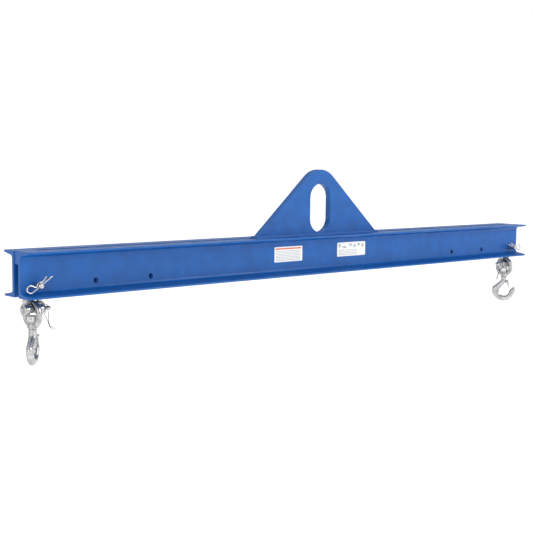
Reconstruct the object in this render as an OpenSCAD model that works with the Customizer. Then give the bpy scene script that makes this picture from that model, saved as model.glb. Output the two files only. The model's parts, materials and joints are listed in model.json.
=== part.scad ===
// Spreader beam: two back-to-back channels, a slotted lifting plate between them, and a swivel hook
// hung by a shackle at each end. +X runs along the beam, -Y is the labelled side, +Z is up.
// The origin is the centre of the round top of the lifting slot.

/* [Beam] */
// Overall length of the channels
beam_len = 1828.8; // [1500:0.1:2400]
// Depth of the channel section
channel_h = 101.6; // [101.6:0.1:110]
// Width of the channel flange
flange_w = 43.7; // [42:0.1:50]
// Thickness of the channel web
web_t = 8.15; // [5:0.05:9]
// Thickness of the flange halfway out from the web
flange_t = 7.52; // [7:0.01:8.5]
// Gap between the two webs, filled by the lifting plate
gap = 19.05; // [18.5:0.05:24]
// Length of each end spacer
spacer_len = 50; // [30:1:80]
// Height of each end spacer
spacer_h = 28.4; // [15:0.1:35]

/* [Pin holes] */
// Distance of the hook pin from the beam's end
pin_inset = 38.1; // [36:0.1:60]
// Spacing of the hook positions along the beam
hole_pitch = 152.4; // [100:0.1:160]
// Height of the holes above the beam's underside
hole_rise = 27; // [26.5:0.1:30]
// Diameter of the hook pin
pin_d = 12.7; // [12:0.1:12.8]
// Diameter of the holes for the hook pin
hole_d = 12.88; // [12.85:0.01:13.5]

/* [Lifting plate] */
// Width of the lifting slot
slot_w = 76.2; // [60:0.1:80]
// Height of the lifting slot
slot_h = 132; // [110:1:135]
// Height of the slot's round centre above the beam
slot_rise = 101.6; // [100:0.1:110]
// Height of the plate's top above the slot's round centre
plate_crown = 76.2; // [70:0.1:85]
// Length of the plate's base on the beam
plate_base = 460; // [420:1:520]
// Radius of the plate's rounded top
plate_top_r = 70; // [60:1:70]
// Depth of plate held between the channels
plate_tuck = 76.2; // [40:0.1:90]

/* [Shackles] */
// Rod diameter of the shackle
shackle_d = 12.7; // [12:0.1:13]
// Clear width inside the shackle's bow
bow_in_w = 33.4; // [32:0.1:35]
// Clear width between the shackle's ears
ear_in_w = 20.8; // [20.6:0.1:22]
// Diameter of the shackle's ears
ear_d = 27; // [24:0.5:27]
// Distance from the hook pin down to the shackle's screw pin
shackle_drop = 55; // [54:0.5:58]
// Diameter of the shackle's screw pin
screw_d = 15.8; // [14:0.1:15.8]

/* [Swivel hooks] */
// Clear width inside the swivel bail
bail_in_w = 32; // [31.5:0.1:32.5]
// Width of the forged bail stock
bail_stock = 12; // [10:0.1:13]
// Thickness of the bail
bail_t = 13; // [10:0.1:13]
// Overall height of the bail
bail_h = 63.4; // [63.4:0.1:67]
// Turn of the bail's plane from the beam's direction
bail_turn = -78; // [-102:1:-78]
// Diameter of the hook's shank
shank_d = 14.5; // [13:0.1:15]
// Outer radius of the hook's bowl
hook_r = 37; // [36:0.5:38]
// Radius of the hook's throat
throat_r = 16.5; // [15:0.5:17]
// Thickness of the hook
hook_t = 16; // [16:0.5:18]
// Turn of the left hook's opening from +X
left_hook_turn = 46; // [-180:1:180]
// Turn of the right hook's opening from +X
right_hook_turn = -55; // [-180:1:180]

/* [Hitch clips] */
// Wire diameter of the hitch clip
clip_d = 3.3; // [3:0.1:3.3]
// Slope of the left clip
left_clip_slope = 34; // [16:1:36]
// Slope of the right clip
right_clip_slope = 20; // [16:1:36]

/* [Labels] */
// Size of the caution label, along and up
caution_size = [101, 40];
// Size of the capacity label, along and up
capacity_size = [114, 39];
// Thickness of a label
label_t = 0.3; // [0.2:0.1:0.6]

/* [Hidden] */
$fn = 48;
eps = 0.01;

// Colours
paint = [0.24, 0.42, 0.72];
weld_paint = [0.28, 0.46, 0.75];
zinc = [0.72, 0.73, 0.74];
bright_zinc = [0.82, 0.83, 0.84];
galvanised = [0.62, 0.63, 0.63];
label_white = [0.92, 0.92, 0.9];

// Levels and places in the beam
beam_top = -slot_rise;
beam_bottom = beam_top - channel_h;
web_back = gap / 2;
web_face = web_back + web_t;
pin_x = beam_len / 2 - pin_inset;
pin_z = beam_bottom + hole_rise;
slot_r = slot_w / 2;
taper = atan(1 / 6);
root_r = 7.6;
toe_r = 3;
weld_leg = 6;
ball_extra = 0.06;

// Hook pin
pin_head_d = 19;
pin_head_t = 5;
pin_reach = 25.5;
clip_inset = 6;
clip_y = web_face + pin_reach - clip_inset;

// Shackle and swivel bail levels
screw_z = pin_z - shackle_drop;
ear_t = shackle_d + 0.5;
ear_mid = (ear_in_w + ear_t) / 2;
bail_r_in = bail_in_w / 2;
bail_r_out = bail_r_in + bail_stock;
bail_top_c = screw_z + screw_d / 2 + 0.4 - bail_r_in;
bail_low = bail_top_c + bail_r_out - bail_h;
bail_low_c = bail_low + bail_r_out;
boss_t = 13;
boss_d = 27;
seat_z = bail_low + boss_t;
washer_t = 2.4;
nut_t = 13.6;
nut_flats = 22;
nut_z = seat_z + washer_t + 0.1;
nut_pin_d = 3;
nut_pin_z = nut_z + nut_t * 0.55;

// Hook: heights are measured from the centre of its bowl
collar_d = 18.5;
collar_h = 14;
bowl_z = bail_low - 0.2 - collar_h - 31;
throat_c = [2.2, -3.3];
tip_low = [18.9, -2.7];
tip_high = [35.5, 13.6];
latch_pivot = [12.5, 28];
latch_end = [17.4, -1.5];
latch_in_w = 16.8;
latch_metal = 1.5;
lug_t = 6;
coil_y = 5.6;
rivet_d = 4;

// Points of an arc in the XZ plane, about centre c, from angle a to angle b
function arc(c, r, a, b, n) = [for (k = [0 : n]) let (t = a + (b - a) * k / n) [c[0] + r * cos(t), 0, c[1] + r * sin(t)]];

// A wire through points, with a slightly fuller ball at every bend
module wire(points, d, extra = ball_extra) {
    for (i = [1 : len(points) - 1]) {
        v = points[i] - points[i - 1];
        translate(points[i - 1]) rotate([0, acos(v[2] / norm(v)), atan2(v[1], v[0])]) cylinder(d = d, h = norm(v));
        translate(points[i]) sphere(d = d + extra);
    }
}

// A disc or rod along X, its middle at the origin
module rod_x(d, h) { rotate([0, 90, 0]) cylinder(d = d, h = h, center = true); }
// A disc or rod along Y, its middle at the origin
module rod_y(d, h) { rotate([90, 0, 0]) cylinder(d = d, h = h, center = true); }

// Children drawn in X and Z, given a thickness along Y
module upright(t) {
    translate([0, t / 2, 0]) rotate([90, 0, 0]) linear_extrude(t) children();
}

// Moves children to one end; side is -1 at the left and 1 at the right
module at_end(side) { translate([side * pin_x, 0, 0]) children(); }
// Draws the left end's children, mirrored at the right end
module handed(side) {
    at_end(side) mirror([side > 0 ? 1 : 0, 0, 0]) children();
}
// The same for a wire, which the left end draws with its front and back swapped, mirrored
module handed_wire(side, path, d, extra = ball_extra) {
    swap = side > 0 ? 1 : -1;
    mirror(side > 0 ? [1, 0, 0] : [0, 1, 0]) wire([for (p = path) [p[0], swap * p[1], p[2]]], d, extra);
}

// ---- Beam ----

// Flange thickness at a distance out from the web's back
function flange_at(u) = flange_t + ((flange_w + web_t) / 2 - u) / 6;

// Lower half of the space between the flanges, with the rounded root
module channel_hollow_half() {
    root_c = [web_t + root_r, flange_at(web_t + root_r) + root_r / cos(taper)];
    translate(root_c) circle(root_r);
    polygon([
        [web_t, channel_h / 2 + eps], [web_t, root_c[1]], root_c,
        root_c - root_r * [sin(taper), cos(taper)],
        [flange_w + 1, flange_at(flange_w + 1)], [flange_w + 1, channel_h / 2 + eps]
    ]);
}

// The sliver that rounds the inner edge of the flange's toe
module toe_corner() {
    toe_c = [flange_w - toe_r, flange_at(flange_w - toe_r) - toe_r / cos(taper)];
    touch = toe_c + toe_r * [sin(taper), cos(taper)];
    difference() {
        polygon([toe_c, [flange_w + 1, toe_c[1]], [flange_w + 1, touch[1] + 1], touch + [0, 1], touch]);
        translate(toe_c) circle(toe_r);
    }
}

module channel_section() {
    difference() {
        square([flange_w, channel_h]);
        for (flip = [0, 1]) translate([0, flip * channel_h]) mirror([0, flip]) {
            channel_hollow_half();
            toe_corner();
        }
    }
}

module channel() {
    difference() {
        translate([-beam_len / 2, web_back, beam_bottom]) rotate([90, 0, 90])
            linear_extrude(beam_len) channel_section();
        for (side = [-1, 1], i = [0 : 2])
            translate([side * (pin_x - i * hole_pitch), web_back + web_t / 2, pin_z])
                rod_y(hole_d, web_t + 4);
    }
}

module front_channel() { color(paint) mirror([0, 1, 0]) channel(); }
module rear_channel() { color(paint) channel(); }

// Touching point of a line from the plate's base corner to its rounded top
function plate_touch(c, base) =
    let (d = norm([base, beam_top - c]), a = atan2(beam_top - c, base) + acos(plate_top_r / d))
    [plate_top_r * cos(a), c + plate_top_r * sin(a)];

module lifting_plate() {
    top_c = plate_crown - plate_top_r;
    half = plate_base / 2;
    touch = plate_touch(top_c, half);
    low = beam_top - plate_tuck;
    color(paint) upright(gap) difference() {
        union() {
            translate([0, top_c]) circle(plate_top_r, $fn = 96);
            polygon([
                [-touch[0], touch[1]], [-half, beam_top], [-half, low + 12], [-half + 12, low],
                [half - 12, low], [half, low + 12], [half, beam_top], touch, [0, top_c]
            ]);
        }
        circle(slot_r, $fn = 96);
        translate([0, slot_w - slot_h]) circle(slot_r, $fn = 96);
        translate([-slot_r, slot_w - slot_h]) square([slot_w, slot_h - slot_w]);
    }
}

// Fillet bead along X, its corner at the origin, filling +Y and +Z
module bead(length, leg) {
    translate([-length / 2, 0, 0]) rotate([90, 0, 90]) linear_extrude(length)
        intersection() {
            square(leg);
            translate([-leg * 0.3, -leg * 0.3]) circle(leg * 1.34);
        }
}

module plate_welds() {
    color(weld_paint) for (side = [0, 1]) mirror([0, side, 0])
        translate([0, web_back, beam_top]) difference() {
            bead(plate_base - 4, weld_leg);
            for (end = [-1, 1]) translate([end * (plate_base / 2 + 6), 0, 0]) rotate([0, -end * 45, 0])
                translate([-10, -1, -20]) cube([20, 20, 40]);
        }
}

spacer_x = beam_len / 2 - spacer_len / 2 - 1.5;

module end_spacer(side) {
    color(paint) translate([side * spacer_x, 0, beam_top - spacer_h / 2])
        cube([spacer_len, gap, spacer_h], center = true);
}
module left_end_spacer() { end_spacer(-1); }
module right_end_spacer() { end_spacer(1); }

// Beads in the corners under each spacer
module spacer_welds() {
    color(weld_paint) for (side = [-1, 1], face = [0, 1]) mirror([0, face, 0])
        translate([side * spacer_x, -web_back, beam_top - spacer_h]) mirror([0, 0, 1]) bead(spacer_len - 8, 4);
}

module label(size, x, z) {
    translate([x, -web_face - label_t / 2, z]) upright(label_t) difference() {
        square(size, center = true);
        for (sx = [-1, 1], sz = [-1, 1]) translate([sx * size[0] / 2, sz * size[1] / 2]) scale([-sx, -sz])
            difference() {
                translate([-1, -1]) square(4);
                translate([3, 3]) circle(3);
            }
    }
}
module caution_label() { color(label_white) label(caution_size, -125, beam_top - 45.6); }
module capacity_label() { color(label_white) label(capacity_size, 117, beam_top - 43.3); }

// ---- Hook pin and its clip ----

function clip_slope(side) = side < 0 ? left_clip_slope : right_clip_slope;

module hook_pin(side) {
    front_end = -web_face - pin_reach;
    color(zinc) handed(side) translate([0, 0, pin_z]) difference() {
        rotate([-90, 0, 0]) rotate_extrude() polygon([
            [0, front_end], [pin_d / 2 - 1.4, front_end], [pin_d / 2, front_end + 1.4],
            [pin_d / 2, web_face + 0.2], [pin_head_d / 2, web_face + 0.2],
            [pin_head_d / 2, web_face + pin_head_t - 0.8], [pin_head_d / 2 - 1, web_face + 0.2 + pin_head_t],
            [0, web_face + 0.2 + pin_head_t]
        ]);
        translate([0, -clip_y, 0]) rotate([0, -clip_slope(side), 0]) rod_x(clip_d + 0.2, pin_d + 4);
    }
}
module left_hook_pin() { hook_pin(-1); }
module right_hook_pin() { hook_pin(1); }

// The straight leg passes through the pin; the waved leg springs over it
module hitch_clip(side) {
    loop_r = 8.35;
    dip_r = 4.5;
    hump_r = (pin_d + clip_d) / 2 + 0.1;
    tail_r = 3.5;
    dip_c = (hump_r + dip_r) * cos(45);
    tail_c = (hump_r + tail_r) * cos(45);
    run = (loop_r + (loop_r + dip_r) / 2 - dip_c) / sin(60);
    loop_x = dip_c + (loop_r + dip_r) * sin(60) + run / 2;
    tail = tail_r * [cos(-75), sin(-75)] + [tail_c, tail_c];
    path = concat(
        [[34, 0, 0]],
        arc([-loop_x, loop_r], loop_r, -90, -330, 14),
        arc([-dip_c, dip_c], dip_r, -150, -45, 5),
        arc([0, 0], hump_r, 120, 45, 5),
        arc([tail_c, tail_c], tail_r, -120, -75, 3),
        [[tail[0] + 14 * cos(15), 0, tail[1] + 14 * sin(15)]]
    );
    color(bright_zinc) at_end(side) translate([0, -clip_y, pin_z]) rotate([0, side * clip_slope(side), 0])
        handed_wire(side, path, clip_d);
}
module left_hitch_clip() { hitch_clip(-1); }
module right_hitch_clip() { hitch_clip(1); }

// ---- Shackle ----

module shackle(side) {
    bow_r = (bow_in_w + shackle_d) / 2;
    lean = 30;
    sweep_r = (bow_r - ear_mid) / (1 - cos(lean)) - bow_r;
    bow_c = pin_z + pin_d / 2 + 0.1 - bow_in_w / 2;
    sweep_low = bow_c - (bow_r + sweep_r) * sin(lean);
    color(galvanised) handed(side) difference() {
        union() {
            wire(concat(
                [[ear_mid, 0, screw_z + 1]],
                arc([ear_mid + sweep_r, sweep_low], sweep_r, 180, 150, 3),
                arc([0, bow_c], bow_r, -20, 200, 22),
                arc([-ear_mid - sweep_r, sweep_low], sweep_r, 30, 0, 3),
                [[-ear_mid, 0, screw_z + 1]]
            ), shackle_d);
            for (x = [-ear_mid, ear_mid]) translate([x, 0, screw_z]) rod_x(ear_d, ear_t);
        }
        translate([0, 0, screw_z]) rod_x(screw_d + 0.1, 80);
    }
}
module left_shackle() { shackle(-1); }
module right_shackle() { shackle(1); }

eye_x = ear_mid + ear_t / 2 + 12.5;

// Screw pin with a collar and a flat eye, which points to the middle of the beam
module shackle_pin(side) {
    ear_out = ear_mid + ear_t / 2;
    color(galvanised) handed(side) translate([0, 0, screw_z]) {
        translate([-ear_out - 1.5, 0, 0]) rotate([0, 90, 0]) rotate_extrude() polygon([
            [0, 0], [screw_d / 2 - 2, 0], [screw_d / 2, 2], [screw_d / 2, 2 * ear_out + 1.7],
            [10.5, 2 * ear_out + 1.7], [10.5, 2 * ear_out + 4], [9, 2 * ear_out + 5], [0, 2 * ear_out + 5]
        ]);
        difference() {
            union() {
                translate([eye_x, 0, 0]) cylinder(d = 17, h = 8, center = true);
                translate([ear_out + 5, 0, 0]) cube([8, 11, 8], center = true);
            }
            translate([eye_x, 0, 0]) cylinder(d = 7, h = 12, center = true);
        }
    }
}
module left_shackle_pin() { shackle_pin(-1); }
module right_shackle_pin() { shackle_pin(1); }

// Loop of tie wire through the screw pin's eye and round the shackle's leg, its two ends left long
module mousing_wire(side) {
    e = eye_x;
    o = ear_mid + ear_t / 2;
    l = ear_mid;
    s = screw_z;
    up = s + 15.5;
    color(zinc) at_end(side) handed_wire(side, [
        [e + 10, -4, s - 49.5], [e + 5, -4.2, s - 40], [e + 1, -4.9, s - 31], [e + 3, -2, s - 20],
        [e + 2, -1, s - 6], [e + 2, -0.5, s], [e + 1, 0, s + 6.4], [e - 6, 3, s + 9.6], [o + 2, 4.4, s + 14.6],
        [o - 2, 7.6, up], [l, 7.8, up], [l - 5.9, 5.3, up], [l - 7.6, 0, up], [l - 5.9, -5.3, up], [l, -7.8, up],
        [o - 2, -7.6, up], [o + 1.5, -9, s + 8], [o + 1.5, -12, s], [o + 2, -9, s - 14],
        [o + 7, -7.5, s - 21], [e + 0.2, -6.8, s - 31], [e + 9, -8.5, s - 36], [e + 17, -8, s - 49.5]
    ], 1.6, 0.02);
}
module left_mousing_wire() { mousing_wire(-1); }
module right_mousing_wire() { mousing_wire(1); }

// ---- Swivel bail ----

module swivel_bail(side) {
    color(galvanised) at_end(side) rotate([0, 0, bail_turn]) difference() {
        union() {
            upright(bail_t) {
                translate([0, bail_top_c]) circle(bail_r_out);
                translate([0, bail_low_c]) circle(bail_r_out);
                translate([-bail_r_out, bail_low_c]) square([2 * bail_r_out, bail_top_c - bail_low_c]);
            }
            translate([0, 0, bail_low]) cylinder(d = boss_d, h = boss_t);
        }
        translate([0, 0, bail_top_c]) rod_y(bail_in_w, 40);
        translate([-bail_r_in, -20, seat_z]) cube([bail_in_w, 40, bail_top_c - seat_z]);
        translate([0, 0, bail_low - 1]) cylinder(d = shank_d + 0.16, h = boss_t + 2);
    }
}
module left_swivel_bail() { swivel_bail(-1); }
module right_swivel_bail() { swivel_bail(1); }

// ---- Hook ----

function hook_turn(side) = side < 0 ? left_hook_turn : right_hook_turn;

// Moves children from the hook's bowl centre to its place
module in_hook(side) {
    at_end(side) translate([0, 0, bowl_z]) rotate([0, 0, hook_turn(side)]) children();
}

// Places children at the latch's hinge
module at_pivot() { translate([latch_pivot[0], 0, latch_pivot[1]]) children(); }

// Outline of the forging, with the bowl's centre at the origin and the opening towards +X
module hook_outline() {
    difference() {
        union() {
            circle(hook_r, $fn = 96);
            polygon([[-33, 0], [-33, 10], [-12, 28], [-9.25, 31.5], [7.5, 31.5], [7.5, 20], [20, 0]]);
        }
        polygon([[-50, -4.4], [-33, 10], [-12, 28], [-9.25, 31.5], [-9.25, 60], [-60, 60]]);
        translate(throat_c) circle(throat_r, $fn = 96);
        polygon([
            [-12.8, 2], [-0.5, 18.3], [4.6, 23.7], [7.5, 24.5], [7.5, 60], [80, 60],
            tip_high + 2 * (tip_high - tip_low), tip_low, throat_c
        ]);
    }
}

module hook(side) {
    color(galvanised) in_hook(side) difference() {
        union() {
            upright(hook_t) hook_outline();
            upright(lug_t) {
                translate(latch_pivot) circle(4);
                polygon([[5, 24], [5, 31.5], [12, 32], [14, 24.4]]);
            }
            translate([0, 0, 31]) cylinder(d = collar_d, h = collar_h);
            translate([0, 0, 31]) cylinder(d = shank_d, h = nut_z + nut_t + 0.5 - bowl_z - 31);
        }
        at_pivot() rod_y(rivet_d + 0.1, 30);
        translate([0, 0, nut_pin_z - bowl_z]) rod_x(nut_pin_d + 0.1, 40);
    }
}
module left_hook() { hook(-1); }
module right_hook() { hook(1); }

module thrust_washer(side) {
    color(zinc) in_hook(side) translate([0, 0, seat_z + 0.1 - bowl_z]) difference() {
        cylinder(d = 25, h = washer_t);
        translate([0, 0, -1]) cylinder(d = shank_d + 0.4, h = washer_t + 2);
    }
}
module left_thrust_washer() { thrust_washer(-1); }
module right_thrust_washer() { thrust_washer(1); }

module swivel_nut(side) {
    color(bright_zinc) in_hook(side) translate([0, 0, nut_z + 0.1 - bowl_z]) difference() {
        intersection() {
            cylinder(d = nut_flats / cos(30), h = nut_t - 0.1, $fn = 6);
            union() {
                cylinder(d1 = nut_flats - 1, d2 = nut_flats + 4, h = 1.5);
                translate([0, 0, 1.5]) cylinder(d = nut_flats + 4, h = nut_t - 3.1);
                translate([0, 0, nut_t - 1.6]) cylinder(d1 = nut_flats + 4, d2 = nut_flats - 1, h = 1.5);
            }
        }
        translate([0, 0, -1]) cylinder(d = shank_d + 0.1, h = nut_t + 2);
        translate([0, 0, nut_pin_z - nut_z - 0.1]) rod_x(nut_pin_d + 0.1, 40);
    }
}
module left_swivel_nut() { swivel_nut(-1); }
module right_swivel_nut() { swivel_nut(1); }

module nut_pin(side) {
    color(zinc) in_hook(side) translate([0, 0, nut_pin_z - bowl_z]) difference() {
        rod_x(nut_pin_d, nut_flats - 1);
        rod_x(nut_pin_d - 1.4, nut_flats + 2);
    }
}
module left_nut_pin() { nut_pin(-1); }
module right_nut_pin() { nut_pin(1); }

// ---- Latch ----

// Pressed strip with two cheeks on the rivet; it closes against the inside of the hook's tip
module latch(side) {
    v = latch_end - latch_pivot;
    out_w = latch_in_w + 2 * latch_metal;
    color(bright_zinc) in_hook(side) at_pivot() rotate([0, atan2(v[0], -v[1]) * -1, 0]) difference() {
        union() {
            for (y = [-1, 1]) translate([0, y * (latch_in_w + latch_metal) / 2, 0]) upright(latch_metal) {
                circle(4.4);
                polygon([[-4.4, 0], [-2.6, -16], [1.2, -22], [2.4, -22], [4.4, 0]]);
            }
            translate([0.9, -out_w / 2, -24]) cube([latch_metal, out_w, 19]);
            translate([0.9, 0, 0]) rotate([90, 0, 90]) linear_extrude(latch_metal)
                polygon([[-out_w / 2, -23], [-5, -norm(v)], [5, -norm(v)], [out_w / 2, -23]]);
        }
        rod_y(rivet_d + 0.15, 30);
    }
}
module left_latch() { latch(-1); }
module right_latch() { latch(1); }

module latch_rivet(side) {
    head_y = latch_in_w / 2 + latch_metal + 0.2;
    color(zinc) in_hook(side) at_pivot() rotate([90, 0, 0]) {
        cylinder(d = rivet_d, h = 2 * head_y, center = true);
        for (end = [0, 1]) mirror([0, 0, end]) translate([0, 0, head_y]) cylinder(d1 = 7, d2 = 5, h = 1.6);
    }
}
module left_latch_rivet() { latch_rivet(-1); }
module right_latch_rivet() { latch_rivet(1); }

// A coil on each side of the hook's lug, with a leg down the back of the latch
module latch_spring(side) {
    v = latch_end - latch_pivot;
    color(zinc) in_hook(side) at_pivot() rotate([0, atan2(v[0], -v[1]) * -1, 0])
        for (flip = [0, 1]) mirror([0, flip, 0]) {
            translate([0, coil_y, 0]) rotate([90, 0, 0]) for (turn = [-1, 0, 1])
                translate([0, 0, turn * 0.7]) rotate_extrude() translate([rivet_d / 2 + 0.6, 0]) circle(d = 0.9);
            translate([-rivet_d / 2 - 0.55, coil_y, 0]) rotate([0, 180 - 12, 0]) cylinder(d = 0.9, h = 14);
        }
}
module left_latch_spring() { latch_spring(-1); }
module right_latch_spring() { latch_spring(1); }

front_channel();
rear_channel();
lifting_plate();
plate_welds();
left_end_spacer();
right_end_spacer();
spacer_welds();
caution_label();
capacity_label();
left_hook_pin();
left_hitch_clip();
left_shackle();
left_shackle_pin();
left_mousing_wire();
left_swivel_bail();
left_hook();
left_thrust_washer();
left_swivel_nut();
left_nut_pin();
left_latch();
left_latch_rivet();
left_latch_spring();
right_hook_pin();
right_hitch_clip();
right_shackle();
right_shackle_pin();
right_mousing_wire();
right_swivel_bail();
right_hook();
right_thrust_washer();
right_swivel_nut();
right_nut_pin();
right_latch();
right_latch_rivet();
right_latch_spring();
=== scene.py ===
"""Spreader beam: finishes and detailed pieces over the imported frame. All sizes are in metres."""
import json
import math

import bmesh
import bpy
from mathutils import Matrix, Vector


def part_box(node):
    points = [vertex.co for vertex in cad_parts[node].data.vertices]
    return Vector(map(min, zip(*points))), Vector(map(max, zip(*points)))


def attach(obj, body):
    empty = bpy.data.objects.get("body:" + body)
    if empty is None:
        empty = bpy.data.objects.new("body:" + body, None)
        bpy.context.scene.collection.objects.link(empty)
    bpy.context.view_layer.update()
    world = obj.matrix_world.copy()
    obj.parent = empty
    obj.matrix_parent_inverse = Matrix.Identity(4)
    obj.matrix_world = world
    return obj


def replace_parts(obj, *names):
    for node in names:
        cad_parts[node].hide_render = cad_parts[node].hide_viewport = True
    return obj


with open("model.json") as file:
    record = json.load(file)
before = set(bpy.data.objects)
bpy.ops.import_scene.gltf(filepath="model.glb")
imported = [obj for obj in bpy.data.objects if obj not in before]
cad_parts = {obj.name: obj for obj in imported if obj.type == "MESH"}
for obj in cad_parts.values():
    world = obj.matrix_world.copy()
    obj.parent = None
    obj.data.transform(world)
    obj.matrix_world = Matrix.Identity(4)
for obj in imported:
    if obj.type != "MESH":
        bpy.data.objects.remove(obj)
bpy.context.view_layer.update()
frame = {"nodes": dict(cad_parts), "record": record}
NODES = frame["nodes"]
JOINTS = {j["name"]: j for j in frame["record"]["behaviour"]["joints"]}
MM = 0.001


# ---- Small mesh makers ----

def new_object(name, verts, faces):
    """Smooth-shaded mesh object in the scene, its faces turned outward."""
    mesh = bpy.data.meshes.new(name)
    mesh.from_pydata([tuple(v) for v in verts], [], faces)
    mesh.validate()
    bm = bmesh.new()
    bm.from_mesh(mesh)
    bmesh.ops.recalc_face_normals(bm, faces=bm.faces)
    bm.to_mesh(mesh)
    bm.free()
    for face in mesh.polygons:
        face.use_smooth = True
    obj = bpy.data.objects.new(name, mesh)
    bpy.context.scene.collection.objects.link(obj)
    return obj


def skin(rings, closed=False):
    """Verts and faces of a tube through rings of equal length."""
    count = len(rings[0])
    verts = [p for ring in rings for p in ring]
    faces = []
    spans = len(rings) if closed else len(rings) - 1
    for i in range(spans):
        a, b = i * count, ((i + 1) % len(rings)) * count
        for j in range(count):
            k = (j + 1) % count
            faces.append((a + j, a + k, b + k, b + j))
    if not closed:
        faces.append(tuple(range(count)))
        faces.append(tuple(range((len(rings) - 1) * count, len(rings) * count)))
    return verts, faces


def join_parts(parts):
    """One (verts, faces) from several."""
    verts, faces = [], []
    for part_verts, part_faces in parts:
        base = len(verts)
        verts += part_verts
        faces += [tuple(base + i for i in f) for f in part_faces]
    return verts, faces


def moved(part, matrix):
    """The (verts, faces) with the matrix applied."""
    return [matrix @ Vector(v) for v in part[0]], part[1]


def spline(points, steps):
    """Catmull-Rom through the points, as tuples of any length."""
    out = []
    for i in range(len(points) - 1):
        p = [points[max(i - 1, 0)], points[i], points[i + 1], points[min(i + 2, len(points) - 1)]]
        for s in range(steps):
            t = s / steps
            out.append(tuple(
                0.5 * (2 * b + (c - a) * t + (2 * a - 5 * b + 4 * c - d) * t * t
                       + (3 * b - a - 3 * c + d) * t ** 3)
                for a, b, c, d in zip(*p)
            ))
    out.append(tuple(points[-1]))
    return out


def sweep(path, radius, sides, round_ends=True):
    """Round rod along an open path of points, with a steady frame and rounded ends."""
    pts = [Vector(p) for p in path]
    n = len(pts)
    tangents = []
    for i in range(n):
        tangents.append((pts[min(i + 1, n - 1)] - pts[max(i - 1, 0)]).normalized())
    side = tangents[0].orthogonal().normalized()
    rings = []
    for i, (p, t) in enumerate(zip(pts, tangents)):
        side = (side - t * side.dot(t)).normalized()
        up = t.cross(side)
        rings.append([
            p + radius * (math.cos(a) * side + math.sin(a) * up)
            for a in turns(sides)
        ])
        if round_ends and i in (0, n - 1):
            sign = -1 if i == 0 else 1
            ends = []
            for tilt in (0.35, 0.75, 1.15):
                ends.append([
                    p + sign * t * radius * 0.6 * math.sin(tilt) + (q - p) * math.cos(tilt) for q in rings[-1]
                ])
            rings = ends[::-1] + rings if i == 0 else rings + ends
    return skin(rings)


def turns(count):
    """Angles of equal steps round a circle."""
    return [2 * math.pi * k / count for k in range(count)]


def lathe(profile, sides=48):
    """Turned solid about Z from (radius, height) pairs that start and end on the axis."""
    return skin([
        [Vector((r * math.cos(a), r * math.sin(a), z)) for a in turns(sides)] for r, z in profile if r > 0
    ])


def disc(radius, low, high, cut):
    """Turned solid of one radius with rounded rims."""
    return lathe(rounded([(0, low), (radius, low), (radius, high), (0, high)], cut))


def rounded(profile, cut):
    """The profile with its inner corners cut back by four small chords each."""
    out = [profile[0]]
    for i in range(1, len(profile) - 1):
        a, b, c = (Vector(profile[i + k]) for k in (-1, 0, 1))
        u, v = a - b, c - b
        d = min(cut, u.length * 0.45, v.length * 0.45)
        p, q = b + u.normalized() * d, b + v.normalized() * d
        for t in (0, 0.25, 0.5, 0.75, 1):
            out.append(tuple(p * (1 - t) ** 2 + b * 2 * t * (1 - t) + q * t * t))
    out.append(profile[-1])
    return out


# ---- Material nodes ----

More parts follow.
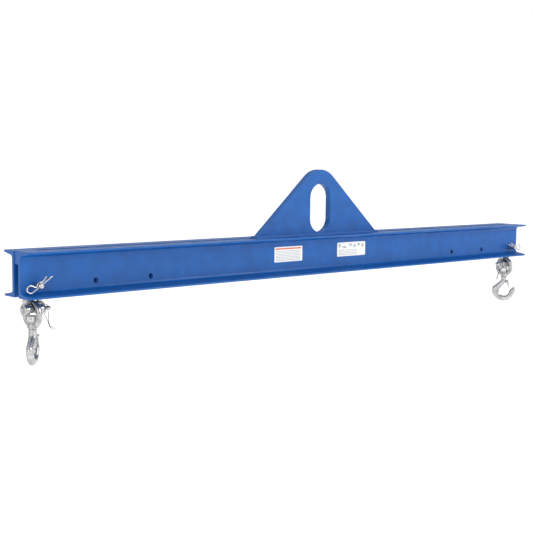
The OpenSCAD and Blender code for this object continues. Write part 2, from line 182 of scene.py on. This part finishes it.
def material(name, base, metallic, rough, dark, light, noise, bump, bump_scale=400.0, wear_and_edge_highlight=None,
             edge_band_size=0.0012, specular=0.5, speckle=None):
    """Principled material with mottled colour, uneven roughness, fine bump, and edges lightened partly by
    wear and partly by a painted highlight.
    """
    mat = bpy.data.materials.new(name)
    mat.use_nodes = True
    tree = mat.node_tree
    tree.nodes.clear()
    nodes, links = tree.nodes, tree.links

    def add(kind, **values):
        node = nodes.new(kind)
        for key, value in values.items():
            setattr(node, key, value)
        return node

    out = add("ShaderNodeOutputMaterial")
    shader = add("ShaderNodeBsdfPrincipled")
    shader.inputs["Metallic"].default_value = metallic
    shader.inputs["Specular IOR Level"].default_value = specular
    links.new(shader.outputs[0], out.inputs[0])
    place = add("ShaderNodeTexCoord")

    def noise_at(scale, detail=6.0):
        node = add("ShaderNodeTexNoise")
        node.inputs["Scale"].default_value = scale
        node.inputs["Detail"].default_value = detail
        links.new(place.outputs["Object"], node.inputs["Vector"])
        return node

    def ramp(source, stops):
        node = add("ShaderNodeValToRGB")
        while len(node.color_ramp.elements) < len(stops):
            node.color_ramp.elements.new(0.5)
        for element, (at, colour) in zip(node.color_ramp.elements, stops):
            element.position = at
            element.color = (*colour, 1.0)
        links.new(source, node.inputs[0])
        return node

    def scaled(k):
        return tuple(min(1.0, c * k) for c in base)

    big, fine = noise_at(noise * 0.15), noise_at(noise)
    colour = ramp(fine.outputs[0], [(0.3, scaled(dark)), (0.55, base), (0.75, scaled(light))])
    cloud = ramp(big.outputs[0], [(0.35, (0.86, 0.87, 0.88)), (0.65, (1.0, 1.0, 1.0))])
    mix = add("ShaderNodeMix", data_type="RGBA", blend_type="MULTIPLY")
    mix.inputs[0].default_value = 0.8
    links.new(colour.outputs[0], mix.inputs[6])
    links.new(cloud.outputs[0], mix.inputs[7])
    result = mix.outputs[2]
    if speckle:
        spots = add("ShaderNodeTexVoronoi")
        spots.inputs["Scale"].default_value = speckle
        links.new(place.outputs["Object"], spots.inputs["Vector"])
        shade = ramp(spots.outputs["Color"], [(0.1, (0.8, 0.8, 0.8)), (0.9, (1.0, 1.0, 1.0))])
        blend = add("ShaderNodeMix", data_type="RGBA", blend_type="MULTIPLY")
        blend.inputs[0].default_value = 0.7
        links.new(result, blend.inputs[6])
        links.new(shade.outputs[0], blend.inputs[7])
        result = blend.outputs[2]
    # Edges lightened in patches along a bevel mask: partly wear, partly a painted highlight on the rims.
    if wear_and_edge_highlight:
        bevel = add("ShaderNodeBevel", samples=6)
        bevel.inputs["Radius"].default_value = edge_band_size
        geometry = add("ShaderNodeNewGeometry")
        dot = add("ShaderNodeVectorMath", operation="DOT_PRODUCT")
        links.new(bevel.outputs[0], dot.inputs[0])
        links.new(geometry.outputs["Normal"], dot.inputs[1])
        edge = ramp(dot.outputs["Value"], [(0.86, (1.0, 1.0, 1.0)), (0.985, (0.0, 0.0, 0.0))])
        edge_patches = ramp(noise_at(noise * 3).outputs[0], [(0.46, (0.0, 0.0, 0.0)), (0.6, (1.0, 1.0, 1.0))])
        both = add("ShaderNodeMath", operation="MULTIPLY")
        links.new(edge.outputs[0], both.inputs[0])
        links.new(edge_patches.outputs[0], both.inputs[1])
        amount = add("ShaderNodeMath", operation="MULTIPLY")
        amount.inputs[1].default_value = 0.5
        links.new(both.outputs[0], amount.inputs[0])
        worn_and_highlit = add("ShaderNodeMix", data_type="RGBA")
        links.new(amount.outputs[0], worn_and_highlit.inputs[0])
        links.new(result, worn_and_highlit.inputs[6])
        worn_and_highlit.inputs[7].default_value = (*wear_and_edge_highlight, 1.0)
        result = worn_and_highlit.outputs[2]
    links.new(result, shader.inputs["Base Color"])
    rough_map = add("ShaderNodeMapRange")
    rough_map.inputs["To Min"].default_value = rough * 0.75
    rough_map.inputs["To Max"].default_value = min(1.0, rough * 1.3)
    links.new(noise_at(noise * 0.6, 3.0).outputs[0], rough_map.inputs[0])
    links.new(rough_map.outputs[0], shader.inputs["Roughness"])
    relief = add("ShaderNodeBump")
    relief.inputs["Strength"].default_value = bump
    relief.inputs["Distance"].default_value = 0.0004
    links.new(noise_at(bump_scale, 4.0).outputs[0], relief.inputs["Height"])
    if wear_and_edge_highlight:
        links.new(bevel.outputs[0], relief.inputs["Normal"])
    links.new(relief.outputs[0], shader.inputs["Normal"])
    return mat


# The edge colour given to each material is lighter than its base. It is a painted edge highlight, partly also
# wear.
PAINT = material("beam_paint", (0.003, 0.092, 0.350), 0.0, 0.38, dark=0.86, light=1.12, noise=35.0, bump=0.12,
                 bump_scale=260.0, wear_and_edge_highlight=(0.20, 0.36, 0.62), edge_band_size=0.0014, specular=0.32)
WELD = material("weld_paint", (0.010, 0.095, 0.37), 0.0, 0.4, dark=0.8, light=1.2, noise=150.0, bump=0.3,
                bump_scale=500.0)
FORGED = material("galvanised_forging", (0.50, 0.50, 0.50), 0.95, 0.27, dark=0.62, light=1.25, noise=110.0,
                  bump=0.35, bump_scale=320.0, wear_and_edge_highlight=(0.7, 0.7, 0.7), speckle=260.0)
HOOK = material("hook_forging", (0.53, 0.53, 0.53), 0.95, 0.27, dark=0.66, light=1.25, noise=90.0, bump=0.35,
                bump_scale=300.0, wear_and_edge_highlight=(0.75, 0.75, 0.75), speckle=220.0)
ZINC = material("zinc_plate", (0.56, 0.56, 0.57), 0.95, 0.26, dark=0.75, light=1.2, noise=160.0, bump=0.12,
                bump_scale=700.0, wear_and_edge_highlight=(0.8, 0.8, 0.8), edge_band_size=0.0005)
BRIGHT = material("bright_zinc", (0.66, 0.66, 0.67), 0.95, 0.22, dark=0.8, light=1.15, noise=140.0, bump=0.1,
                  bump_scale=600.0, wear_and_edge_highlight=(0.85, 0.85, 0.85), edge_band_size=0.0006)
WIRE = material("tie_wire", (0.22, 0.22, 0.22), 0.9, 0.34, dark=0.7, light=1.2, noise=300.0, bump=0.1,
                bump_scale=900.0)


# ---- CAD nodes that keep their shape ----

def keep(node, mat, bevel=0.0):
    """Gives a CAD node its material, and softens its edges."""
    obj = NODES[node]
    obj.data.materials.clear()
    obj.data.materials.append(mat)
    if bevel:
        weld = obj.modifiers.new("weld", "WELD")
        weld.merge_threshold = 0.00001
        soft = obj.modifiers.new("soft_edge", "BEVEL")
        soft.width = bevel
        soft.segments = 3
        soft.limit_method = "ANGLE"
        soft.angle_limit = math.radians(35)
        soft.harden_normals = True


keep("front_channel", PAINT, 0.0009)
keep("rear_channel", PAINT, 0.0009)
keep("lifting_plate", PAINT, 0.0012)
keep("left_end_spacer", PAINT, 0.0008)
keep("right_end_spacer", PAINT, 0.0008)
for side in ("left", "right"):
    keep(side + "_swivel_nut", BRIGHT)
    keep(side + "_thrust_washer", ZINC)
    keep(side + "_nut_pin", ZINC)
    keep(side + "_latch", BRIGHT, 0.0005)
    keep(side + "_latch_rivet", ZINC)
    keep(side + "_latch_spring", WIRE)


# ---- Weld beads ----

def weld_bead(start, along, out, up, length, leg, seed):
    """Rippled fillet bead in the corner at start, running along for length."""
    rings = []
    steps = int(length / 0.0012)
    for i in range(steps + 1):
        t = i / steps
        ripple = 0.86 + 0.09 * abs(math.sin(i * 1.05 + seed)) + 0.03 * math.sin(i * 0.13 + seed * 3)
        size = leg * ripple * min(1.0, (0.35 + 12 * t), (0.35 + 12 * (1 - t)))
        ring = [start + along * (t * length)]
        for k in range(8):
            a = math.pi / 2 * k / 7
            bulge = size * (0.80 + 0.20 * abs(math.cos(2 * a)))
            ring.append(start + along * (t * length + 0.0006 * math.sin(2 * a)) + out * bulge * math.cos(a)
                        + up * bulge * math.sin(a))
        rings.append(ring)
    return skin(rings)


def weld_object(name, parts, node):
    """One painted object from the beads, in the place of a CAD node."""
    bead = new_object(name, *join_parts(parts))
    bead.data.materials.append(WELD)
    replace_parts(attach(bead, "beam"), node)


def build_welds():
    """Beads round the lifting plate's foot and along the end spacers."""
    along_x, along_y, up = Vector((1, 0, 0)), Vector((0, 1, 0)), Vector((0, 0, 1))
    low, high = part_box("lifting_plate")
    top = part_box("front_channel")[1].z
    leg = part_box("plate_welds")[1].z - top
    parts = []
    for sign in (-1, 1):
        start = Vector((low.x - leg / 2, sign * high.y, top))
        parts.append(weld_bead(start, along_x, sign * along_y, up, high.x - low.x + leg, leg, sign * 1.7))
        start = Vector((sign * high.x, low.y - leg / 2, top))
        parts.append(weld_bead(start, along_y, sign * along_x, up, high.y - low.y + leg, leg, sign * 0.9))
    weld_object("plate_weld_beads", parts, "plate_welds")
    parts = []
    spacer_leg = 0.004
    for node in ("left_end_spacer", "right_end_spacer"):
        low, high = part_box(node)
        for sign in (-1, 1):
            start = Vector((low.x + spacer_leg, sign * high.y, low.z))
            length = high.x - low.x - 2 * spacer_leg
            parts.append(weld_bead(start, along_x, -sign * along_y, -up, length, spacer_leg, sign))
    weld_object("spacer_weld_beads", parts, "spacer_welds")


build_welds()


# ---- Labels ----

VINYL = material("label_vinyl", (0.82, 0.82, 0.8), 0.0, 0.35, dark=0.95, light=1.03, noise=40.0, bump=0.05)
PRINT_GREY = material("label_grey", (0.44, 0.45, 0.46), 0.0, 0.4, dark=0.9, light=1.1, noise=90.0, bump=0.05)
PRINT_RED = material("label_red", (0.74, 0.16, 0.05), 0.0, 0.4, dark=0.92, light=1.06, noise=60.0, bump=0.05)


def label(node, blocks):
    """White film with printed blocks: (left, right, low, high, slot) as shares of the label's size."""
    low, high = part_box(node)
    width, height = high.x - low.x, high.z - low.z
    radius = 0.003
    outline = []
    for cx, cz, first in ((1, 1, 0), (0, 1, 90), (0, 0, 180), (1, 0, 270)):
        for k in range(5):
            a = math.radians(first + k * 22.5)
            outline.append((low.x + radius + cx * (width - 2 * radius) + radius * math.cos(a),
                            low.z + radius + cz * (height - 2 * radius) + radius * math.sin(a)))
    film_y = low.y + 0.00004
    rings = [[Vector((x, y, z)) for x, z in outline] for y in (high.y, film_y)]
    verts, faces = skin(rings)
    slots = [0] * len(faces)
    for left, right, bottom, top, slot in blocks:
        base = len(verts)
        corners = ((left, bottom), (right, bottom), (right, top), (left, top))
        verts += [Vector((low.x + u * width, low.y, low.z + v * height)) for u, v in corners]
        faces.append((base, base + 1, base + 2, base + 3))
        slots.append(slot)
    mesh = bpy.data.meshes.new(node + "_film")
    mesh.from_pydata([tuple(v) for v in verts], [], faces)
    obj = bpy.data.objects.new(node + "_film", mesh)
    bpy.context.scene.collection.objects.link(obj)
    for mat in (VINYL, PRINT_GREY, PRINT_RED):
        mesh.materials.append(mat)
    for face, slot in zip(mesh.polygons, slots):
        face.material_index = slot
    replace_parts(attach(obj, "beam"), node)


def text_rows(left, right, bottom, top, rows, slot, seed):
    """Rows of short bars that stand in for lines of print."""
    bars = []
    pitch = (top - bottom) / rows
    for row in range(rows):
        x = left
        k = 0
        while x < right - 0.01:
            length = 0.02 + 0.022 * ((row * 7 + k * 5 + seed) % 4) / 3
            end = min(x + length, right)
            bars.append((x, end, top - (row + 0.75) * pitch, top - (row + 0.25) * pitch, slot))
            x = end + 0.008
            k += 1
    return bars


GREY_SLOT, RED_SLOT = 1, 2
HEADING = [(0.04, 0.96, 0.82, 0.92, RED_SLOT)]
PICTURES = [(left, right, low, high, GREY_SLOT) for left, right, low, high in (
    (0.05, 0.12, 0.66, 0.90), (0.19, 0.32, 0.58, 0.74), (0.42, 0.52, 0.70, 0.88),
    (0.56, 0.66, 0.60, 0.80), (0.72, 0.80, 0.70, 0.90), (0.86, 0.93, 0.60, 0.84))]
label("caution_label", HEADING + text_rows(0.06, 0.94, 0.06, 0.76, 7, GREY_SLOT, 1))
label("capacity_label", PICTURES + text_rows(0.05, 0.70, 0.07, 0.50, 4, GREY_SLOT, 3))


# ---- Hanging gear ----

# Radius of the hook pins and of the shackles' stock
ROD_R = 0.00635
# Turns of the Z axis to +X, to the front at -Y, and to the rear at +Y
TO_X = Matrix.Rotation(math.pi / 2, 4, "Y")
TO_FRONT = Matrix.Rotation(math.pi / 2, 4, "X")
TO_REAR = Matrix.Rotation(-math.pi / 2, 4, "X")


def at(origin, turn=0.0, mirror=False):
    """Placement of a piece made at the origin."""
    flip = Matrix.Diagonal((-1 if mirror else 1, 1, 1, 1))
    return Matrix.Translation(origin) @ Matrix.Rotation(turn, 4, "Z") @ flip


def finish_piece(name, parts, mat, body, node):
    """One object from the parts, on its body, in the place of a CAD node."""
    obj = new_object(name, *join_parts(parts))
    obj.data.materials.append(mat)
    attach(obj, body)
    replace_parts(obj, node)


def section(centre, normal, half_depth, half_thick, fat=0.0, power=2.4, sides=28):
    """Rounded section of a forging in the XZ plane's sweep: normal points to the outside of the bend."""
    ring = []
    for a in turns(sides):
        c, s = math.cos(a), math.sin(a)
        u = math.copysign(abs(c) ** (2 / power), c) * half_depth
        v = math.copysign(abs(s) ** (2 / power), s) * half_thick * (1 - fat * c)
        ring.append(Vector((centre[0] + normal[0] * u, v, centre[1] + normal[1] * u)))
    return ring


# The hook's throat and bowl in mm, with the bowl's centre at the origin
THROAT = (2.2, -3.3)
THROAT_R = 16.5
BOWL_R = 37.0
# Inner point, outer point and half thickness in mm, at the tip and at the neck
TIP_STATIONS = [
    ((34.2, 12.6), (34.9, 12.2), 2.2),
    ((31.8, 10.4), (36.0, 8.6), 5.0),
    ((27.5, 6.0), (36.9, 3.0), 6.6),
    ((22.6, 1.2), (36.9, -3.2), 7.4),
    ((19.0, -3.6), (36.0, -9.0), 7.8),
]
NECK_STATIONS = [
    ((-12.8, 2.0), (-35.0, 8.6), 8.0),
    ((-8.6, 7.8), (-28.6, 14.2), 8.1),
    ((-4.6, 13.0), (-20.2, 21.4), 8.2),
    ((-0.2, 18.6), (-12.8, 27.6), 8.4),
    ((4.6, 23.8), (-9.6, 31.0), 8.8),
    ((8.4, 29.2), (-9.2, 33.0), 9.2),
    ((9.25, 34.0), (-9.25, 35.0), 9.25),
]


def hook_stations():
    """Rows of inner x and z, outer x and z, and half thickness, from the tip round the bowl to the neck."""
    bowl = []
    for degrees in range(-30, -181, -15):
        a = math.radians(degrees)
        c, s = math.cos(a), math.sin(a)
        inner = (THROAT[0] + THROAT_R * c, THROAT[1] + THROAT_R * s)
        bowl.append((inner, (BOWL_R * c, BOWL_R * s), 8.0))
    return [(i[0], i[1], o[0], o[1], t) for i, o, t in TIP_STATIONS + bowl + NECK_STATIONS]


def hook_body():
    """The forging, with bevelled sides where it bends round the bowl."""
    rings = []
    for xi, zi, xo, zo, thick in spline(hook_stations(), 4):
        inner, outer = Vector((xi, zi)) * MM, Vector((xo, zo)) * MM
        depth = (outer - inner).length / 2
        rings.append(section((inner + outer) / 2, (outer - inner).normalized(), depth, thick * MM,
                             fat=0.10 if zi < 20 else 0.0))
    return skin(rings)


def build_hook(side):
    """Hook with its collar, shank and latch lug, turned as the latch's axis says."""
    joint = JOINTS[side + "_hook_swivel"]
    latch = JOINTS[side + "_latch_open"]
    x = joint["pos_m"][0]
    low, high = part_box(side + "_hook")
    bowl = low.z + BOWL_R * MM
    axis = latch["axis"]
    turn = math.atan2(-axis[0], axis[1])
    bail_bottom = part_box(side + "_swivel_bail")[0].z - bowl
    neck_z, collar_r, shank_r, shank_chamfer = 0.0335, 0.00925, 0.00725, 0.001
    collar = disc(collar_r, neck_z, bail_bottom - 0.0002, 0.0009)
    shank_low, shank_high = bail_bottom - 0.001, high.z - bowl
    shank = lathe([(0, shank_low), (shank_r, shank_low), (shank_r, shank_high - shank_chamfer),
                   (shank_r - 0.00105, shank_high), (0, shank_high)])
    lug_at = Vector((latch["pos_m"][0] - x, latch["pos_m"][1], latch["pos_m"][2] - bowl))
    reach = math.hypot(lug_at.x, lug_at.y)
    lug = lathe(rounded([(0, -0.003), (0.004, -0.003), (0.004, 0.003), (0, 0.003)], 0.0008), 32)
    lug = moved(lug, Matrix.Translation((reach, 0, lug_at.z)) @ TO_FRONT)
    rings = [section((sx * MM, sz * MM), (0.15, 0.99), h * MM, 0.003, power=4, sides=16)
             for sx, sz, h in ((3, 27.3, 4.6), (7, 27.7, 4.4), (10, 28.0, 4.1), (12.5, 28.0, 3.9))]
    parts = [hook_body(), collar, shank, lug, skin(rings)]
    place = at((x, 0, bowl), turn)
    parts = [moved(p, place) for p in parts]
    finish_piece(side + "_forged_hook", parts, HOOK, side + "_hook_set", side + "_hook")


# Swivel bail: radii of its ring, its thickness, and the turn of its plane from the beam's direction
BAIL_R_OUT, BAIL_R_IN, BAIL_T = 0.028, 0.016, 0.013
BAIL_TURN = math.radians(-78)


def build_bail(side):
    """Ring of the swivel bail with the boss that the hook's shank turns in."""
    joint = JOINTS[side + "_bail_swing"]
    x = joint["pos_m"][0]
    low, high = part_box(side + "_swivel_bail")
    outer, inner, half_thick = BAIL_R_OUT, BAIL_R_IN, BAIL_T / 2
    mean, half_depth = (outer + inner) / 2, (outer - inner) / 2
    top, bottom = high.z - outer, low.z + outer
    rings = []
    for centre, first in ((top, 0), (bottom, 180)):
        for k in range(19):
            a = math.radians(first + k * 10)
            n = (math.cos(a), math.sin(a))
            rings.append(section((mean * n[0], centre + mean * n[1]), n, half_depth, half_thick, power=2.6))
    ring = skin(rings, closed=True)
    boss_r, boss_top = 0.0118, low.z + 0.013
    boss = lathe(rounded([(0, low.z), (boss_r, low.z), (boss_r + 0.001, boss_top), (0, boss_top)], 0.0035))
    place = at((x, 0, 0), BAIL_TURN)
    parts = [moved(ring, place), moved(boss, place)]
    finish_piece(side + "_forged_bail", parts, FORGED, side + "_bail", side + "_swivel_bail")


# Shackle: place, thickness and radius of the ears, and the lean of the legs where they meet the bow
EAR_MID, EAR_T, EAR_R = 0.017, 0.0132, 0.0135
LEG_LEAN = math.radians(30)
# Distances from the shackle's middle to the outer face of an ear and to the middle of the screw pin's eye
EAR_OUT = EAR_MID + EAR_T / 2
EYE_X = EAR_OUT + 0.0125
TIE_WIRE_R = 0.0008


def build_shackle(side):
    """Bow, legs and ears of one shackle, with its screw pin and tie wire."""
    x, _, _ = JOINTS[side + "_shackle_swing"]["pos_m"]
    screw = JOINTS[side + "_bail_swing"]["pos_m"][2]
    place = at((x, 0, 0), mirror=side == "right")
    body = side + "_shackle_set"
    low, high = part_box(side + "_shackle")
    bow_r = (high.x - low.x) / 2 - ROD_R
    bow_z = high.z - ROD_R - bow_r
    sweep_r = (bow_r - EAR_MID) / (1 - math.cos(LEG_LEAN)) - bow_r
    low_z = bow_z - (bow_r + sweep_r) * math.sin(LEG_LEAN)
    right_leg = [Vector((EAR_MID, 0, screw + 0.009))]
    for k in range(9):
        a = LEG_LEAN * k / 8
        right_leg.append(Vector((EAR_MID + sweep_r * (1 - math.cos(a)), 0, low_z + sweep_r * math.sin(a))))
    bow = []
    for k in range(1, 32):
        a = -LEG_LEAN + (math.pi + 2 * LEG_LEAN) * k / 32
        bow.append(Vector((bow_r * math.cos(a), 0, bow_z + bow_r * math.sin(a))))
    left_leg = [Vector((-p.x, 0, p.z)) for p in right_leg[8::-1]]
    parts = [sweep(right_leg + bow + left_leg, ROD_R, 32, round_ends=False)]
    for sign in (-1, 1):
        ear = disc(EAR_R, -EAR_T / 2, EAR_T / 2, 0.0024)
        parts.append(moved(ear, Matrix.Translation((sign * EAR_MID, 0, screw)) @ TO_X))
    parts = [moved(p, place) for p in parts]
    finish_piece(side + "_forged_shackle", parts, FORGED, body, side + "_shackle")
    parts = [moved(p, place) for p in screw_pin(screw)]
    finish_piece(side + "_screw_pin", parts, FORGED, body, side + "_shackle_pin")
    parts = [moved(p, place) for p in tie_wire(screw)]
    finish_piece(side + "_tie_wire", parts, WIRE, body, side + "_mousing_wire")


def screw_pin(level):
    """Shank and collar at the level, and a flat eye on a short stem."""
    tip_r, pin_r, collar_r, dome_r = 0.006, 0.0079, 0.0105, 0.009
    profile = [
        (0, -EAR_OUT - 0.0015), (tip_r, -EAR_OUT - 0.0015), (pin_r, -EAR_OUT + 0.0004),
        (pin_r, EAR_OUT + 0.0002), (collar_r, EAR_OUT + 0.0002), (collar_r, EAR_OUT + 0.0024),
        (dome_r, EAR_OUT + 0.0035), (0, EAR_OUT + 0.0035)]
    shank = moved(lathe(rounded(profile, 0.0007)), Matrix.Translation((0, 0, level)) @ TO_X)
    eye_r, eye_depth, eye_half = 0.006, 0.0025, 0.004
    eye = []
    for a in turns(40):
        centre = Vector((math.cos(a), math.sin(a), 0))
        eye.append([centre * (eye_r + eye_depth * math.cos(b))
                    + Vector((EYE_X, 0, level + eye_half * math.sin(b))) for b in turns(16)])
    stem = []
    stations = (
        (EAR_OUT + 0.002, 0.0065, 0.0055), (EAR_OUT + 0.005, 0.0056, 0.0044), (EYE_X - 0.005, 0.005, 0.0038))
    for stem_x, wide, tall in stations:
        stem.append([Vector((stem_x, wide * math.cos(b), level + tall * math.sin(b))) for b in turns(20)])
    return [shank, skin(eye, closed=True), skin(stem)]


def tie_wire(s):
    """Wire through the eye and round the shackle's leg, its ends twisted together, at the screw's level s."""
    e, o, leg, up = EYE_X, EAR_OUT, EAR_MID, s + 0.0155
    knot = Vector((e + 0.001, -0.004, s - 0.031))
    first = [
        (leg - 0.001, 0.0078, up), (o - 0.002, 0.0077, up), (o + 0.002, 0.0044, s + 0.0147),
        (e - 0.006, 0.003, s + 0.0098), (e + 0.001, 0, s + 0.0064), (e + 0.002, -0.0005, s),
        (e + 0.002, -0.001, s - 0.006), (e + 0.003, -0.002, s - 0.02)]
    second = [
        (leg - 0.001, -0.0078, up), (o - 0.002, -0.0077, up), (o + 0.0015, -0.009, s + 0.008),
        (o + 0.0015, -0.0122, s), (o + 0.002, -0.009, s - 0.014), (o + 0.007, -0.007, s - 0.021)]
    for k in range(9):
        a = k * math.radians(60)
        drop = knot + Vector((0.0004 * k, 0, -0.0012 * k))
        off = Vector((math.cos(a), math.sin(a), 0)) * 0.0009
        first.append(tuple(drop + off))
        second.append(tuple(drop - off))
    first += [(e + 0.006, -0.005, s - 0.045), (e + 0.009, -0.005, s - 0.049)]
    second += [(e + 0.010, -0.006, s - 0.044), (e + 0.0165, -0.007, s - 0.049)]
    back = [
        (leg - 0.001, 0.0078, up), (leg - 0.006, 0.0058, up), (leg - 0.0082, 0, up),
        (leg - 0.006, -0.0058, up), (leg - 0.001, -0.0078, up)]
    return [sweep(spline(p, 5), TIE_WIRE_R, 10) for p in (first, second, back)]


# Slope of the hitch clip's straight leg at each end
CLIP_SLOPES = {"left": math.radians(34), "right": math.radians(20)}
CLIP_WIRE_R = 0.00165


def clip_path():
    """Centre line of a hitch clip in mm: a straight leg, a round loop, and a waved leg over the pin."""
    leg, loop_r, dip_r, hump_r = 34.0, 8.35, 4.5, 8.1
    fall = 60
    cos_fall, sin_fall = math.cos(math.radians(fall)), math.sin(math.radians(fall))
    dip_c = (hump_r + dip_r) * math.cos(math.radians(45))
    run = (loop_r + (loop_r + dip_r) * cos_fall - dip_c) / sin_fall
    loop_x = dip_c + (loop_r + dip_r) * sin_fall + run * cos_fall
    # Each step is (0, length) for a straight, or (radius, degrees) for a bend
    steps = [
        (0, leg + loop_x), (loop_r, -180 - fall), (0, run), (dip_r, fall + 45), (hump_r, -90),
        (3.5, 60), (0, 14)]
    x, z, heading = leg, 0.0, math.pi
    path = [(x, z)]
    for radius, amount in steps:
        count = 8 if radius == 0 else max(6, int(abs(amount) / 9))
        bend = 0.0 if radius == 0 else math.radians(amount) / count
        chord = amount / count if radius == 0 else 2 * radius * math.sin(abs(bend) / 2)
        for _ in range(count):
            heading += bend / 2
            x += math.cos(heading) * chord
            z += math.sin(heading) * chord
            heading += bend / 2
            path.append((x, z))
    return path


def build_pin(side):
    """Hook pin with its head at the rear, and the hitch clip through its front end."""
    x, _, z = JOINTS[side + "_pin_turn"]["pos_m"]
    low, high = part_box(side + "_hook_pin")
    head_r, head_t, chamfer = (high.x - low.x) / 2, 0.005, 0.0014
    head_y = high.y - head_t
    profile = [
        (0, low.y), (ROD_R - chamfer, low.y), (ROD_R, low.y + chamfer), (ROD_R, head_y), (head_r, head_y),
        (head_r, high.y - 0.0008), (head_r - 0.001, high.y), (0, high.y)]
    pin = moved(lathe(rounded(profile, 0.0005)), Matrix.Translation((x, 0, z)) @ TO_REAR)
    finish_piece(side + "_clevis_pin", [pin], ZINC, side + "_pin", side + "_hook_pin")
    clip_low, clip_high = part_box(side + "_hitch_clip")
    clip_y = (clip_low.y + clip_high.y) / 2
    c, s = math.cos(CLIP_SLOPES[side]), math.sin(CLIP_SLOPES[side])
    sign = -1 if side == "right" else 1
    points = [(x + sign * (u * c - v * s) * MM, clip_y, z + (u * s + v * c) * MM) for u, v in clip_path()]
    clip = sweep(points, CLIP_WIRE_R, 14)
    finish_piece(side + "_spring_clip", [clip], BRIGHT, side + "_pin", side + "_hitch_clip")


for side in ("left", "right"):
    build_hook(side)
    build_bail(side)
    build_shackle(side)
    build_pin(side)


# ---- Studio ----

# Brightness of the surroundings by height: white behind the beam, a dark band, then the ceiling
SKY = [(0.0, 1.0), (0.2, 1.0), (0.3, 0.12), (0.5, 0.12), (0.62, 0.9), (1.0, 1.0)]


FLOOR_REACH, FLOOR_Z = 30.0, -1.1
# Name, place, target, size and power of each area light
LIGHTS = [
    ("key_light", (1.8, -3.4, 1.4), (0, 0, -0.15), 2.0, 85),
    ("top_light", (0, 0.6, 3.2), (0, 0, -0.1), 2.4, 20),
    ("fill_light", (-3.0, -1.2, 0.6), (-0.4, 0, -0.2), 1.8, 18),
]


def build_floor():
    """Plain pale floor, bright enough to meet the surroundings without a line."""
    floor_mesh = bpy.data.meshes.new("floor")
    reach, level = FLOOR_REACH, FLOOR_Z
    floor_mesh.from_pydata([(-reach, -reach, level), (reach, -reach, level), (reach, reach, level),
                            (-reach, reach, level)], [], [(0, 1, 2, 3)])
    floor = bpy.data.objects.new("floor", floor_mesh)
    bpy.context.scene.collection.objects.link(floor)
    pale = bpy.data.materials.new("floor_pale")
    pale.use_nodes = True
    shader = pale.node_tree.nodes["Principled BSDF"]
    shader.inputs["Base Color"].default_value = (0.93, 0.93, 0.93, 1)
    shader.inputs["Roughness"].default_value = 0.95
    shader.inputs["Emission Color"].default_value = (1, 1, 1, 1)
    shader.inputs["Emission Strength"].default_value = 0.45
    floor.data.materials.append(pale)


def build_world():
    """Surroundings shaded by height, and the plain view transform."""
    world = bpy.data.worlds.new("studio")
    world.use_nodes = True
    nodes, links = world.node_tree.nodes, world.node_tree.links
    place = nodes.new("ShaderNodeTexCoord")
    split = nodes.new("ShaderNodeSeparateXYZ")
    shade = nodes.new("ShaderNodeValToRGB")
    links.new(place.outputs["Generated"], split.inputs[0])
    links.new(split.outputs["Z"], shade.inputs[0])
    links.new(shade.outputs[0], nodes["Background"].inputs[0])
    while len(shade.color_ramp.elements) < len(SKY):
        shade.color_ramp.elements.new(0.5)
    for element, (height, grey) in zip(shade.color_ramp.elements, SKY):
        element.position = height
        element.color = (grey, grey, grey, 1.0)
    bpy.context.scene.world = world
    bpy.context.scene.view_settings.view_transform = "Standard"


def build_lights():
    """Soft area lights, each turned to its target."""
    for name, place, target, size, power in LIGHTS:
        light = bpy.data.lights.new(name, "AREA")
        light.size = size
        light.energy = power
        obj = bpy.data.objects.new(name, light)
        obj.location = place
        obj.rotation_euler = (Vector(target) - Vector(place)).to_track_quat("-Z", "Y").to_euler()
        bpy.context.scene.collection.objects.link(obj)


# Camera: place in metres, lens and sensor width in mm, and yaw from +Y, pitch down and roll in degrees
CAMERA_PLACE = (-1.99176, -2.00279, 0.09928)
LENS, SENSOR = 69.56, 36
YAW, PITCH, ROLL = 42.02, 5.88, 0.68


def build_camera():
    """Camera at its fitted place and turn."""
    yaw, pitch, roll = math.radians(YAW), math.radians(PITCH), math.radians(ROLL)
    right = Vector((math.cos(yaw), -math.sin(yaw), 0))
    ahead = Vector((math.sin(yaw) * math.cos(pitch), math.cos(yaw) * math.cos(pitch), -math.sin(pitch)))
    up = right.cross(ahead)
    side = right * math.cos(roll) + up * math.sin(roll)
    over = up * math.cos(roll) - right * math.sin(roll)
    data = bpy.data.cameras.new("camera")
    data.sensor_width = SENSOR
    data.lens = LENS
    data.clip_end = 100
    obj = bpy.data.objects.new("camera", data)
    turn = Matrix((side, over, -ahead)).transposed().to_4x4()
    obj.matrix_world = Matrix.Translation(CAMERA_PLACE) @ turn
    bpy.context.scene.collection.objects.link(obj)
    bpy.context.scene.camera = obj


build_floor()
build_world()
build_lights()
build_camera()
